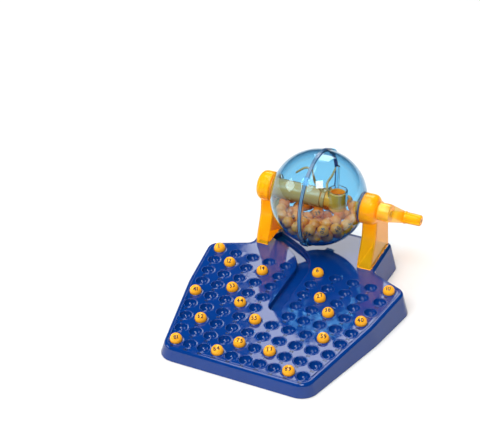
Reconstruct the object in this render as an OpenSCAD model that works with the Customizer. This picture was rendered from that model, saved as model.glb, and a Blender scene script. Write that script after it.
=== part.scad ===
// Bingo cage: a clear turning globe of numbered balls between two hollow legs, on a tray with 90 cups.
// +X runs along the globe's axle towards the crank, +Y towards the back, +Z up.
// The origin is on the table, under the middle of the tray.

/* [Balls] */
// Diameter of a numbered ball
ball_d = 12; // [11.8:0.1:12]
// Gap between a ball and its cup
cup_gap = 0.35; // [0.3:0.05:0.4]
// Height of a resting ball's centre above the tray's face
ball_rise = 1.5; // [1.2:0.1:2]

/* [Tray] */
// Height of the tray's face at the first row of cups
face_z = 23.9; // [23:0.1:25]
// Slope of the tray's face, in degrees
slope = 3.66; // [3.4:0.02:3.8]
// Wall thickness of the tray
wall = 2.2; // [2:0.1:2.4]
// Outward lean of the side walls for each mm of height
draft = 0.24; // [0.2:0.01:0.26]
// Radius of the rounded top edge
edge_r = 3.5; // [3.2:0.1:3.6]
// How far the cupped face lies below the raised rim
rim_step = 0.1; // [0.1:0.05:0.2]
// Y of the first row of cups
row1_y = 39.3; // [39:0.1:39.6]
// Distance between rows of cups
row_pitch = 19.1; // [18.9:0.05:19.1]

/* [Gutter] */
// Half the gutter's width
gutter_r = 6.75; // [6.6:0.05:6.8]
// Radius of the gutter's bend
bend_r = 45; // [44:0.5:46]
// Angle of the gutter's bend
bend_angle = 60; // [58:1:62]

/* [Globe] */
// Outer radius of the clear globe
globe_r = 50.45; // [50.2:0.05:50.6]
// Thickness of the globe's shell
shell = 1.6; // [1.4:0.1:1.8]
// Height of the globe's axle
axle_z = 90.6; // [90:0.1:91]
// Distance of the axle behind the first row of cups
axle_back = 39.6; // [39:0.1:40]
// Radius of the globe's flat poles
pole_r = 16; // [15.5:0.1:16.4]

/* [Legs] */
// X of the legs' inner faces
leg_x = 50; // [49.9:0.1:50.2]
// Width of a leg along the axle
leg_w = 15.4; // [15.3:0.1:15.5]
// Wall thickness of a leg
leg_wall = 1.4; // [1.3:0.1:1.4]
// Radius of the round head of a leg
head_r = 16; // [15.5:0.1:16.4]

/* [Outlet] */
// Outer radius of the fixed outlet tube
tube_r = 10.55; // [10.4:0.05:10.6]
// Bore radius of the outlet tube
tube_bore_r = 8.4; // [8.2:0.1:8.6]

/* [Crank] */
// Radius of the drive shaft
shaft_r = 6; // [5.8:0.1:6.2]
// Radial running clearance of shafts and pins
run_gap = 0.06; // [0.04:0.01:0.08]
// Length of the crank arm between the axle and the grip
arm_l = 35.5; // [34:0.5:37]
// Angle of the crank arm below the horizontal, towards the back
arm_angle = 32; // [25:1:40]
// Length of the grip
grip_l = 19; // [17:0.5:21]

/* [Hidden] */
$fn = 64;
ball_r = ball_d / 2;
cup_r = ball_r + cup_gap;
boss_r = cup_r + 0.95;
axle_y = row1_y + axle_back;
inner_r = globe_r - shell;
pole_x = sqrt(globe_r * globe_r - pole_r * pole_r);
leg_out = leg_x + leg_w;
head_out = leg_out + 0.8;
foot_gap = 0.02;

// Cups: rows 1 to 5 are two groups of five beside the gutter, rows 6 to 9 run straight across
rows = 9;
columns = 10;
split_rows = 5;
split_half_gap = 17.8;
function split_pitch(row) = 19.3 - 0.65 * (row - 1);
function full_pitch(row) = 18 - 1.06 * (row - split_rows - 1);
function side(column) = column > 5 ? 1 : -1;
function steps_out(column) = column > 5 ? column - 6 : 5 - column;
function cup_x(row, column) = row <= split_rows
    ? side(column) * (split_half_gap + steps_out(column) * split_pitch(row))
    : (column - (columns + 1) / 2) * full_pitch(row);
function cup_v(row) = -row_pitch * (row - 1);

// Balls already drawn, as [row, column]
drawn = [[1, 1], [1, 6], [1, 10], [2, 2], [2, 4], [3, 7], [4, 3], [4, 8], [4, 10], [5, 1],
    [5, 4], [6, 5], [6, 9], [7, 2], [8, 5], [8, 7], [9, 1], [9, 4], [9, 9]];
function drawn_name(i) = str("ball_", (drawn[i][0] - 1) * columns + drawn[i][1]);
drawn_names = [for (i = [0:len(drawn) - 1]) drawn_name(i)];

// Rounded outlines: corners are [x, y, radius], listed counter-clockwise, and inset moves every edge inwards
function unit(v) = v / norm(v);
function inward(a, b) = let (u = unit(b - a)) [-u[1], u[0]];
function spot(corner) = [corner[0], corner[1]];
function half_turn(a) = a > 180 ? a - 360 : a < -180 ? a + 360 : a;
function round_corner(a, b, c, inset, parts) =
    let (n1 = inward(spot(a), spot(b)), n2 = inward(spot(b), spot(c)),
         sign = n1[0] * n2[1] - n1[1] * n2[0] > 0 ? 1 : -1,
         reach = (n1 + n2) / (1 + n1 * n2),
         r = b[2] - sign * inset,
         centre = spot(b) + inset * reach + sign * r * reach,
         start = atan2(-sign * n1[1], -sign * n1[0]),
         sweep = half_turn(atan2(-sign * n2[1], -sign * n2[0]) - start))
    [for (i = [0:parts]) centre + r * [cos(start + sweep * i / parts), sin(start + sweep * i / parts)]];
function outline(corners, inset = 0, parts = 5) =
    let (n = len(corners))
    [for (i = [0:n - 1]) let (before = corners[(i + n - 1) % n], after = corners[(i + 1) % n])
        each round_corner(before, corners[i], after, inset, parts)];
function mirrored(corners) =
    concat(corners, [for (i = [len(corners) - 1:-1:0]) [-corners[i][0], corners[i][1], corners[i][2]]]);

// The tray's outline at its rounded top edge, right half from front to back
tray_corners = mirrored([[75.9, -126.5, 15], [100.8, -20.7, 130], [110.8, 47.8, 12], [69.5, 66.3, 8],
    [69.3, 122.8, 6]]);
function face_at(y) = face_z + (y - row1_y) * tan(slope);

// A leg seen along the axle, as [y, z]: it leans back from its head to a wide foot
leg_corners = [[axle_y - 13, face_z - 10, 3], [axle_y + 45, face_z - 10, 5], [axle_y + 36, axle_z - 25, 25],
    [axle_y + 20, axle_z + 1, 6], [axle_y - 2.6, axle_z + 3, 3], [axle_y - 2.9, axle_z - 33, 20],
    [axle_y - 12.6, axle_z - 60.6, 30]];

// Places its children on the sloping face: local X and Y along the face from the first row's centre line
module on_face() {
    translate([0, row1_y, face_z]) rotate([slope, 0, 0]) children();
}

// Turns its children so that their local Z runs along the axle
module along_axle(x = 0) {
    translate([x, axle_y, axle_z]) rotate([0, 90, 0]) children();
}

module axle_rod(x0, x1, r) {
    along_axle(x0) cylinder(h = x1 - x0, r = r);
}

// The side wall and rounded rim: one closed section carried round the outline
module tray_wall() {
    path = outline(tray_corners);
    out = outline(tray_corners, -1) - path;
    n = len(path);
    round_steps = 4;
    rim_w = edge_r + 0.4;
    section = concat([for (i = [0:round_steps]) let (a = 90 * i / round_steps)
            [edge_r * (1 - cos(a)), edge_r * (sin(a) - 1)]],
        [[rim_w, 0], [rim_w, -rim_step - wall - 1.2], [wall + 0.6, -edge_r - wall - 1.5]]);
    rings = concat([[for (i = [0:n - 1]) let (p = path[i], q = p + out[i] * draft * face_at(p[1]))
            [q[0], q[1], 0]]],
        [for (s = section) [for (i = [0:n - 1]) let (p = path[i] - out[i] * s[0])
            [p[0], p[1], face_at(p[1]) + s[1]]]],
        [[for (i = [0:n - 1]) let (p = path[i], q = p + out[i] * (draft * face_at(p[1]) - wall - 0.3))
            [q[0], q[1], 0]]]);
    m = len(rings);
    polyhedron(points = [for (ring = rings) each ring],
        faces = [for (j = [0:m - 1], i = [0:n - 1]) let (k = (j + 1) % m, l = (i + 1) % n)
            each [[j * n + i, k * n + i, k * n + l], [j * n + i, k * n + l, j * n + l]]]);
}

// The gutter's outline on the face: straight down the middle from the fifth row,
// round the bend and into the left leg
gutter_end_v = cup_v(5) + 10;
bend_v = -5;
leg_run = 33;
bend_parts = 12;
gutter_depth = 6.8;
function bend_side(r) = [for (i = [0:bend_parts]) let (a = bend_angle * i / bend_parts)
    [-bend_r, bend_v] + (bend_r + r) * [cos(a), sin(a)]];
function gutter_outline(r) =
    let (across = [cos(bend_angle), sin(bend_angle)], along = [-sin(bend_angle), cos(bend_angle)],
         leg_end = [-bend_r, bend_v] + bend_r * across + leg_run * along,
         inner = bend_side(-r))
    concat([for (a = [180:15:360]) [0, gutter_end_v] + r * [cos(a), sin(a)]],
        bend_side(r), [leg_end + r * across, leg_end - r * across],
        [for (i = [bend_parts:-1:0]) inner[i]]);

gutter_wall = 1.8;
boss_floor = 1.6;
// Tabs under each leg drop through slots in the tray
tab_w = 8;
tab_t = 2.4;
tab_drop = 6;
tab_gap = 0.3;
tab_places = [28, 68];
module tray_panel() {
    difference() {
        union() {
            translate([0, 0, -rim_step - wall]) linear_extrude(wall)
                polygon(outline(tray_panel_corners(), edge_r - 1));
            for (row = [1:rows], column = [1:columns])
                translate([cup_x(row, column), cup_v(row), ball_rise - cup_r - boss_floor])
                    cylinder(h = cup_r - ball_rise + boss_floor - rim_step - wall / 2, r = boss_r);
            translate([0, 0, -gutter_depth - gutter_wall])
                linear_extrude(gutter_depth + gutter_wall - rim_step - wall / 2)
                    polygon(gutter_outline(gutter_r + gutter_wall));
        }
        for (row = [1:rows], column = [1:columns])
            translate([cup_x(row, column), cup_v(row), ball_rise - rim_step]) sphere(r = cup_r);
        translate([0, 0, -gutter_depth]) linear_extrude(gutter_depth + 5) polygon(gutter_outline(gutter_r));
        for (s = [-1, 1], v = tab_places) translate([s * (leg_x + leg_w / 2), v, -rim_step - wall / 2])
            cube([tab_w + tab_gap, tab_t + tab_gap, wall + 1], center = true);
    }
}
function tray_panel_corners() = [for (c = tray_corners) [c[0], (c[1] - row1_y) / cos(slope), c[2]]];

module tray() color("royalblue") {
    tray_wall();
    on_face() tray_panel();
}

// Ramp inside the left leg that turns a falling ball towards the gutter
ramp_w = leg_w - 2 * leg_wall - 0.6;
ramp_l = 32;
ramp_end_v = 65;
module outlet_ramp() color("orange") on_face()
    translate([-leg_out + leg_wall + 0.3, ramp_end_v, foot_gap])
        rotate([90, 0, 0]) linear_extrude(ramp_l) polygon([[0, 0], [ramp_w, 0], [ramp_w, 0.8], [0, 9]]);

module along_x(x0, x1) {
    translate([x0, 0, 0]) rotate([90, 0, 90]) linear_extrude(x1 - x0) children();
}
module leg_solid(inset, x0, x1) {
    along_x(x0, x1) polygon(outline(leg_corners, inset));
}

// The head: a short barrel on the axle with a rounded outer edge
module head_solid(inset, x0, x1) {
    r = head_r - inset;
    round_r = 3.5;
    along_axle(x0) rotate_extrude() difference() {
        square([r, x1 - x0]);
        translate([r - round_r, x1 - x0 - round_r]) difference() {
            square(round_r + 1);
            circle(r = round_r);
        }
    }
}

module above_face() {
    intersection() {
        children();
        on_face() translate([-120, -60, foot_gap]) cube([240, 200, 160]);
    }
}

// Hollow leg open on its inner side, on the right; the left one is its mirror image
module leg_shell() {
    above_face() difference() {
        union() {
            leg_solid(0, leg_x + leg_wall, leg_out);
            head_solid(0, leg_x + leg_wall, head_out);
        }
        leg_solid(leg_wall, leg_x, leg_out - leg_wall);
        head_solid(leg_wall, leg_x, head_out - leg_wall);
    }
    on_face() for (v = tab_places) translate([leg_x + leg_w / 2, v, -rim_step - tab_drop / 2])
        cube([tab_w, tab_t, tab_drop], center = true);
    on_face() for (v = tab_places) translate([leg_x + leg_w / 2, v, -rim_step + leg_wall / 2])
        cube([leg_w - 2 * leg_wall + 1, tab_t, leg_wall], center = true);
}

module leg_cover() {
    above_face() union() {
        leg_solid(0, leg_x, leg_x + leg_wall);
        axle_rod(leg_x, leg_x + leg_wall, head_r);
    }
}

module left_leg_shell() color("orange") mirror([1, 0, 0]) leg_shell();

// The left cover has a window at its foot, where a ball rolls out into the gutter
window_y = row1_y + 20;
window_z = face_z + 18;
module left_leg_cover() color("orange") mirror([1, 0, 0]) difference() {
    leg_cover();
    along_x(leg_x - 1, leg_x + leg_wall + 1)
        polygon([[window_y, 0], [window_y, window_z], [window_y + 10, window_z],
            [window_y + 41, window_z - 14], [window_y + 41, 0]]);
    axle_rod(leg_x - 1, leg_x + leg_wall + 1, tube_r + 0.1);
}

module right_leg_shell() color("orange") difference() {
    union() {
        leg_shell();
        axle_rod(leg_x + leg_wall + 0.2, head_out - 1, shaft_r + 2.4);
    }
    axle_rod(leg_x, head_out + 1, shaft_r + run_gap);
}

module right_leg_cover() color("orange") difference() {
    leg_cover();
    axle_rod(leg_x - 1, leg_x + leg_wall + 1, shaft_r + run_gap);
}

// Fixed tube from the left leg into the globe; the globe's left pole turns on it
tube_end_x = 4;
module outlet_tube() color("gold") difference() {
    union() {
        axle_rod(-leg_x - leg_wall, tube_end_x, tube_r);
        axle_rod(-leg_x, -leg_x + 1.4, tube_r + 3);
    }
    axle_rod(-leg_x - leg_wall - 1, tube_end_x + 1, tube_bore_r);
}

// Open-topped cup on the inner end of the tube: one ball at a time drops in and rolls out along the tube
catch_x = 20.6;
catch_r = 8.4;
catch_wall = 1.5;
catch_top = 10.8;
catch_bottom = -9.5;
module catch_cup() color("orange") difference() {
    union() {
        axle_rod(tube_end_x - 8, catch_x, tube_bore_r - 0.1);
        translate([catch_x, axle_y, axle_z + catch_bottom])
            cylinder(h = catch_top - catch_bottom, r = catch_r);
    }
    axle_rod(tube_end_x - 9, catch_x, tube_bore_r - catch_wall - 0.1);
    translate([catch_x, axle_y, axle_z - tube_bore_r + 1]) cylinder(h = 30, r = catch_r - catch_wall);
}

// Wavy fingers on a collar round the cup's neck loosen the balls falling on it.
// Each is [angle about the axle from upright, [[along the axle, out from it], ...]]
finger_r = 1.5;
finger_sides = 10;
finger_steps = 6;
collar_x = tube_end_x + 1;
collar_w = 4;
fingers = [[-20, [[7, 9.8], [3.5, 12.5], [-1, 21.5], [-2.5, 32], [-4, 40], [-10, 41], [-21, 31]]],
    [44, [[6.5, 9.8], [4.5, 16.5], [7, 25], [8.5, 34]]],
    [98, [[6.5, 9.8], [9, 17], [6, 25], [7.5, 33]]]];
// Smooth curve through a list of points: t runs from 0 to 1 between points i and i + 1
function near(list, i) = list[max(0, min(len(list) - 1, i))];
function curve_spot(list, i, t) =
    let (a = near(list, i - 1), b = near(list, i), c = near(list, i + 1), d = near(list, i + 2))
    b + t / 2 * (c - a) + pow(t, 2) * (a - 2.5 * b + 2 * c - d / 2)
        + pow(t, 3) / 2 * (3 * b - 3 * c + d - a);
function curve(list) = concat([for (i = [0:len(list) - 2], k = [0:finger_steps - 1])
    curve_spot(list, i, k / finger_steps)], [list[len(list) - 1]]);
module finger(route) {
    path = curve(route);
    last = len(path) - 1;
    n = finger_sides;
    rings = [for (i = [0:last])
        let (d = unit(near(path, i + 1) - near(path, i - 1)), r = finger_r * (1 - 0.3 * i / last))
        [for (k = [0:n - 1]) let (a = 360 * k / n)
            [path[i][0] + r * cos(a) * d[1], r * sin(a), path[i][1] - r * cos(a) * d[0]]]];
    polyhedron(points = [for (ring = rings) each ring],
        faces = concat([[for (k = [0:n - 1]) k], [for (k = [n - 1:-1:0]) last * n + k]],
            [for (j = [0:last - 1], k = [0:n - 1]) let (a = j * n, b = a + n, m = (k + 1) % n)
                each [[a + k, b + k, b + m], [a + k, b + m, a + m]]]));
}
module ball_fingers() color("khaki") {
    difference() {
        axle_rod(collar_x, collar_x + collar_w, tube_bore_r + 2);
        axle_rod(collar_x - 1, collar_x + collar_w + 1, tube_bore_r);
    }
    translate([0, axle_y, axle_z]) for (f = fingers) rotate([-f[0], 0, 0]) finger(f[1]);
}

// Clear sleeve round the cup, open towards its neck, with a post standing on its far side
sleeve_r = 10.3;
sleeve_wall = 1.4;
sleeve_bottom = -4;
sleeve_top = 13.4;
post_r = 2;
post_angle = 115;
module cup_hoop() color("skyblue") {
    difference() {
        translate([catch_x, axle_y, axle_z + sleeve_bottom])
            cylinder(h = sleeve_top - sleeve_bottom, r = sleeve_r);
        translate([catch_x, axle_y, axle_z + sleeve_bottom - 1])
            cylinder(h = sleeve_top - sleeve_bottom + 2, r = sleeve_r - sleeve_wall);
        axle_rod(collar_x, catch_x, tube_bore_r + 0.4);
    }
    translate([catch_x, axle_y, axle_z]) rotate([0, 0, post_angle])
        translate([sleeve_r - sleeve_wall / 2, 0, sleeve_top - 3]) cylinder(h = 26, r = post_r);
}

// One half of the globe: a thin spherical shell with a proud seam flange and a flat pole
flange_w = 1.9;
flange_h = 1.3;
module globe_half(pole_hole, pole_open) {
    pole_height = sqrt(globe_r * globe_r - pole_open * pole_open);
    along_axle() rotate_extrude($fn = 96) {
        difference() {
            intersection() {
                circle(r = globe_r);
                square([globe_r, pole_height]);
            }
            intersection() {
                circle(r = inner_r);
                translate([-1, -1]) square([inner_r + 1, pole_height + 1 - shell]);
            }
            translate([-1, 0]) square([1 + pole_hole, globe_r]);
        }
        translate([inner_r, 0]) square([globe_r + flange_h - inner_r, flange_w]);
    }
}
left_pole_r = 15;
left_pole_x = sqrt(globe_r * globe_r - left_pole_r * left_pole_r);
module globe_left_half() color("lightskyblue", 0.4) mirror([1, 0, 0]) {
    globe_half(tube_r + run_gap, left_pole_r);
    difference() {
        axle_rod(left_pole_x - shell - 2.2, left_pole_x - shell / 2, tube_r + 2);
        axle_rod(left_pole_x - shell - 3, left_pole_x, tube_r + run_gap);
    }
}
module globe_right_half() color("lightskyblue", 0.4) globe_half(shaft_r + 0.05, pole_r);

// Four spring clips that hold the halves together over the seam flanges
clip_w = 9;
module seam_clips() color("lightskyblue") for (a = [45:90:315])
    translate([0, axle_y, axle_z]) rotate([a, 0, 0]) translate([0, 0, globe_r + flange_h + 0.1])
        difference() {
            translate([-3.4, -clip_w / 2, -1.2]) cube([6.8, clip_w, 2.4]);
            translate([-2, -clip_w / 2 - 1, -2.5]) cube([4, clip_w + 2, 2.5]);
        }

// Clear disc between the globe's right pole and the leg
module drive_hub() color("lightgray") difference() {
    axle_rod(pole_x, leg_x - 0.4, pole_r);
    axle_rod(pole_x - 1, leg_x, shaft_r + 0.05);
}

shaft_end = leg_out + 9;
module drive_shaft() color("orange") difference() {
    axle_rod(pole_x - shell - 4, shaft_end, shaft_r);
    axle_rod(shaft_end - 8, shaft_end + 1, 1.3);
}

module shaft_nut() color("orange") difference() {
    axle_rod(pole_x - shell - 3.5, pole_x - shell - 0.05, 9);
    axle_rod(pole_x - shell - 5, pole_x, shaft_r + 0.05);
}

// The arm: a round hub on the shaft, a flat tapered web and the pin that the grip turns on
hub_x = head_out + 0.4;
arm_x = hub_x + 4.4;
arm_end_x = leg_out + 18;
pin_r = 2.8;
module at_grip() {
    translate([0, arm_l * cos(arm_angle), -arm_l * sin(arm_angle)]) children();
}
module crank_arm() color("orange") difference() {
    union() {
        axle_rod(hub_x, arm_x + 8, 9.5);
        hull() {
            axle_rod(arm_x, arm_x + 8, 9.5, $fn = 32);
            at_grip() axle_rod(arm_end_x - 8, arm_end_x, 6.8, $fn = 32);
        }
        at_grip() axle_rod(arm_end_x - 1, arm_end_x + grip_l - 4, pin_r);
    }
    axle_rod(hub_x - 1, shaft_end + 0.1, shaft_r + 0.05);
    axle_rod(shaft_end - 1, arm_x + 9, 1.6);
    axle_rod(arm_x + 6, arm_x + 9, 3.4);
    at_grip() axle_rod(arm_end_x + grip_l - 12, arm_end_x + grip_l, 0.9);
}

module screw_solid(x_head, shank_l, shank_r, head_l, head_radius) {
    difference() {
        union() {
            axle_rod(x_head - shank_l, x_head, shank_r);
            axle_rod(x_head, x_head + head_l, head_radius);
        }
        for (turn = [0, 90]) along_axle(x_head + head_l) rotate([0, 0, turn])
            cube([head_radius * 1.2, head_radius * 0.3, head_l], center = true);
    }
}
module crank_screw() color("silver") screw_solid(arm_x + 6.02, 10, 1.2, 1.8, 3.2);

// Round tapered grip, free to turn on the arm's pin
module crank_grip() color("orange") at_grip() along_axle(arm_end_x + 0.3) rotate_extrude() difference() {
    polygon([[0, 0], [6.7, 0], [6.3, grip_l - 1.6], [4.8, grip_l - 0.1], [0, grip_l - 0.1]]);
    translate([-1, -1]) square([1 + pin_r + run_gap, grip_l + 1 - 4]);
    translate([-1, grip_l - 5.1]) square([1 + 1.8, 8]);
    translate([-1, grip_l - 2.1]) square([1 + 3.4, 4]);
}
module grip_screw() color("silver") at_grip() screw_solid(arm_end_x + grip_l - 1.6, 8, 0.85, 1.3, 3.1);

// The balls still in the globe lie in rings against its wall, in layers one ball apart
layer_gap = ball_d + 0.3;
wall_layer_r = inner_r - ball_r - 0.35;
module ball_ring(layer_r, polar, count, turn) {
    out = layer_r * sin(polar);
    for (i = [0:count - 1]) let (a = turn + 360 * i / count)
        translate([out * cos(a), axle_y + out * sin(a), axle_z - layer_r * cos(polar)])
            sphere(r = ball_r, $fn = 32);
}
module ball_layer(layer_r, counts, turn) {
    step = 2 * asin(layer_gap / 2 / layer_r);
    for (k = [0:len(counts) - 1]) ball_ring(layer_r, k * step, counts[k], turn + 137.5 * k);
}
module globe_balls() color("goldenrod") {
    ball_layer(wall_layer_r, [1, 6, 11, 16, 18], 10);
    ball_layer(wall_layer_r - layer_gap, [1, 6, 11], 40);
    ball_layer(wall_layer_r - 2 * layer_gap, [1], 0);
}

module drawn_ball(i) color("gold") on_face()
    translate([cup_x(drawn[i][0], drawn[i][1]), cup_v(drawn[i][0]), ball_rise - rim_step]) sphere(r = ball_r);

tray();
left_leg_shell();
left_leg_cover();
right_leg_shell();
right_leg_cover();
outlet_ramp();
outlet_tube();
catch_cup();
ball_fingers();
cup_hoop();
globe_left_half();
globe_right_half();
seam_clips();
drive_hub();
drive_shaft();
shaft_nut();
crank_arm();
crank_screw();
crank_grip();
grip_screw();
globe_balls();
for (i = [0:len(drawn) - 1]) drawn_ball(i);
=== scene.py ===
"""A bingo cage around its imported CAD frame: finished pieces, materials, studio light and camera.

Shapes are worked out in millimetres, in the CAD's own frame, and become metres when a mesh is made.
"""

import math
import random

import bmesh
import bpy
from mathutils import Matrix, Vector
from mathutils.geometry import delaunay_2d_cdt


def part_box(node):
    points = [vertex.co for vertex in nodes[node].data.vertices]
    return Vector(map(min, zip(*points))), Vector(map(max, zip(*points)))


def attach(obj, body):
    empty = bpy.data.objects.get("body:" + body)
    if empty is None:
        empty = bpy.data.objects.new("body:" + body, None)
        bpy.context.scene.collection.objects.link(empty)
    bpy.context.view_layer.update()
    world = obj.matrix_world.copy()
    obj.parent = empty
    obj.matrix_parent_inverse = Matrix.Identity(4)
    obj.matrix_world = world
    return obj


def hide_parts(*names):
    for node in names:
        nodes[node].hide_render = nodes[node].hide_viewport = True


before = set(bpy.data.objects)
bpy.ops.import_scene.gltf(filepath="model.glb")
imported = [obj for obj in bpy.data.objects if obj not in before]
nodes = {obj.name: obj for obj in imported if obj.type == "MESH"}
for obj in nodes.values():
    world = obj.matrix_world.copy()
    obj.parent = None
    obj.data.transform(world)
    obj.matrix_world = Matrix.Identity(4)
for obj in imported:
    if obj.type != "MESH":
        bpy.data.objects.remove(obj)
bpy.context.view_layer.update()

MM = 0.001

# Tray, as in the CAD
SLOPE = math.radians(3.66)
ROW1_Y, FACE_Z = 39.3, 23.9
WALL, DRAFT, EDGE_R, RIM_STEP = 2.2, 0.24, 3.5, 0.1
RIM_W = EDGE_R + 0.4
ROWS, COLUMNS, SPLIT_ROWS = 9, 10, 5
ROW_PITCH, SPLIT_HALF_GAP = 19.1, 17.8
SPLIT_PITCH, SPLIT_TAPER = 19.3, 0.65
FULL_PITCH, FULL_TAPER = 18, 1.06
BALL_R, CUP_R, CUP_RISE = 6.0, 6.35, 1.4
BOSS_R, BOSS_WALL = CUP_R + 0.95, 1.6
TRAY_CORNERS = [(75.9, -126.5, 15), (100.8, -20.7, 130), (110.8, 47.8, 12), (69.5, 66.3, 8), (69.3, 122.8, 6)]
TRAY_CORNERS += [(-x, y, r) for x, y, r in reversed(TRAY_CORNERS)]
GUTTER_R, GUTTER_DEPTH, GUTTER_WALL = 6.75, 6.8, 1.8
BEND_R, BEND_ANGLE, BEND_Y, LEG_RUN = 45, math.radians(60), -5, 33

# Globe, legs and crank, as in the CAD
AXLE_Y, AXLE_Z = ROW1_Y + 39.6, 90.6
GLOBE_R, SHELL, POLE_R = 50.45, 1.6, 16
INNER_R = GLOBE_R - SHELL
POLE_X = math.sqrt(GLOBE_R ** 2 - POLE_R ** 2)
LEG_X, LEG_WALL = 50, 1.4
LEG_OUT = LEG_X + 15.4
HEAD_R, HEAD_OUT = 16, LEG_OUT + 0.8
LEG_CORNERS = [(AXLE_Y - 13, FACE_Z - 10, 3), (AXLE_Y + 45, FACE_Z - 10, 5), (AXLE_Y + 36, AXLE_Z - 25, 25),
               (AXLE_Y + 20, AXLE_Z + 1, 6), (AXLE_Y - 2.6, AXLE_Z + 3, 3), (AXLE_Y - 2.9, AXLE_Z - 33, 20),
               (AXLE_Y - 12.6, AXLE_Z - 60.6, 30)]
TUBE_R, TUBE_BORE_R, TUBE_END = 10.55, 8.4, 4.0
SHAFT_R, SHAFT_END, RUN_GAP, PIN_R = 6, LEG_OUT + 9, 0.06, 2.8
ARM_L, ARM_ANGLE, ARM_FOOT = 35.5, math.radians(32), HEAD_OUT + 0.4
ARM_X, ARM_END_X, GRIP_L = ARM_FOOT + 4.4, LEG_OUT + 18, 19
CATCH_X, CATCH_R, CATCH_WALL, CATCH_TOP, CATCH_BOTTOM = 20.6, 8.4, 1.5, 10.8, -9.5


# ------------------------------ stage, camera and light

def link(obj):
    bpy.context.scene.collection.objects.link(obj)
    return obj


def set_inputs(node, **values):
    """Sets a node's inputs, with _ for a space in their names. A colour gets an alpha of 1."""
    for name, value in values.items():
        socket = node.inputs[name.replace("_", " ")]
        socket.default_value = (*value, 1) if socket.type == "RGBA" else value


def add_camera():
    """A long lens that looks down on the tray from its front right."""
    azimuth, elevation, distance = math.radians(25.55), math.radians(30.47), 1.475
    aim = Vector((-0.1239, 0.1497, 0.0))
    back = Vector((math.sin(azimuth) * math.cos(elevation), -math.cos(azimuth) * math.cos(elevation),
                   math.sin(elevation)))
    data = bpy.data.cameras.new("camera")
    data.lens = 96.44
    data.sensor_width = 36.0
    data.clip_end = 60.0
    camera = link(bpy.data.objects.new("camera", data))
    camera.location = aim + back * distance
    camera.rotation_euler = (-back).to_track_quat("-Z", "Y").to_euler()
    bpy.context.scene.camera = camera


def add_softbox(name, place, aim, width, height, radiance):
    """A rectangle of light of that radiance, facing aim. The camera doesn't see it."""
    data = bpy.data.lights.new(name, "AREA")
    data.shape = "RECTANGLE"
    data.size, data.size_y = width, height
    data.energy = radiance * math.pi * width * height
    light = link(bpy.data.objects.new(name, data))
    light.location = place
    light.rotation_euler = (Vector(aim) - Vector(place)).to_track_quat("-Z", "Y").to_euler()
    light.visible_camera = False


def add_sun(name, direction, strength, spread):
    data = bpy.data.lights.new(name, "SUN")
    data.energy = strength
    data.angle = math.radians(spread)
    sun = link(bpy.data.objects.new(name, data))
    sun.rotation_euler = Vector(direction).to_track_quat("-Z", "Y").to_euler()
    sun.visible_glossy = False


def add_world():
    """White surroundings that are dimmer in reflections."""
    world = bpy.data.worlds.new("studio")
    world.use_nodes = True
    tree = world.node_tree
    tree.nodes.clear()
    out = tree.nodes.new("ShaderNodeOutputWorld")
    mix = tree.nodes.new("ShaderNodeMixShader")
    path = tree.nodes.new("ShaderNodeLightPath")
    for socket, colour, strength in ((1, (1, 1, 1), 0.6), (2, (0.4, 0.7, 1), 0.04)):
        light = tree.nodes.new("ShaderNodeBackground")
        set_inputs(light, Color=colour, Strength=strength)
        tree.links.new(light.outputs[0], mix.inputs[socket])
    tree.links.new(path.outputs["Is Glossy Ray"], mix.inputs[0])
    tree.links.new(mix.outputs[0], out.inputs["Surface"])
    bpy.context.scene.world = world


def add_floor():
    bm = bmesh.new()
    bmesh.ops.create_grid(bm, x_segments=8, y_segments=8, size=30)
    mesh = bpy.data.meshes.new("floor")
    bm.to_mesh(mesh)
    bm.free()
    floor = link(bpy.data.objects.new("floor", mesh))
    floor.location = (0, 0, -0.0002)
    material = bpy.data.materials.new("floor")
    material.use_nodes = True
    set_inputs(material.node_tree.nodes["Principled BSDF"], Base_Color=(0.68, 0.68, 0.68), Roughness=0.9,
               Specular_IOR_Level=0.1)
    mesh.materials.append(material)


add_camera()
add_world()
add_floor()
# The softbox stands where the right two thirds of the face mirror it
SOFTBOX = Vector((-0.477, 1.919, 2.05))
add_softbox("back_softbox", SOFTBOX, SOFTBOX + Vector((0.305, -0.952, 0)), 1.015, 1.7, 5.2)
add_softbox("top_softbox", Vector((-0.45, -0.05, 1.6)), Vector((0, 0, 0)), 1.1, 0.4, 5.0)
add_softbox("front_strip", Vector((0.31, -0.68, 1.42)), Vector((0, 0, 0)), 0.45, 0.5, 14.0)
add_softbox("left_softbox", Vector((-1.9, -0.7, 1.0)), Vector((0, 0, 0)), 0.9, 0.7, 4.0)
add_sun("soft_key", (0.25, 0.6, -0.75), 1.5, 30)
bpy.context.scene.view_settings.view_transform = "Standard"


# ------------------------------ materials

# What thick plastic takes from the light, as (colour, density), and the tints of clear shadows
WATER = ((0.04, 0.70, 0.95), 40)
HONEY = ((0.99, 0.8, 0.3), 60)
FAINT_BLUE = (0.98, 0.99, 1.0)
AMBER_SHADOW = (0.99, 0.80, 0.40)


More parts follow.
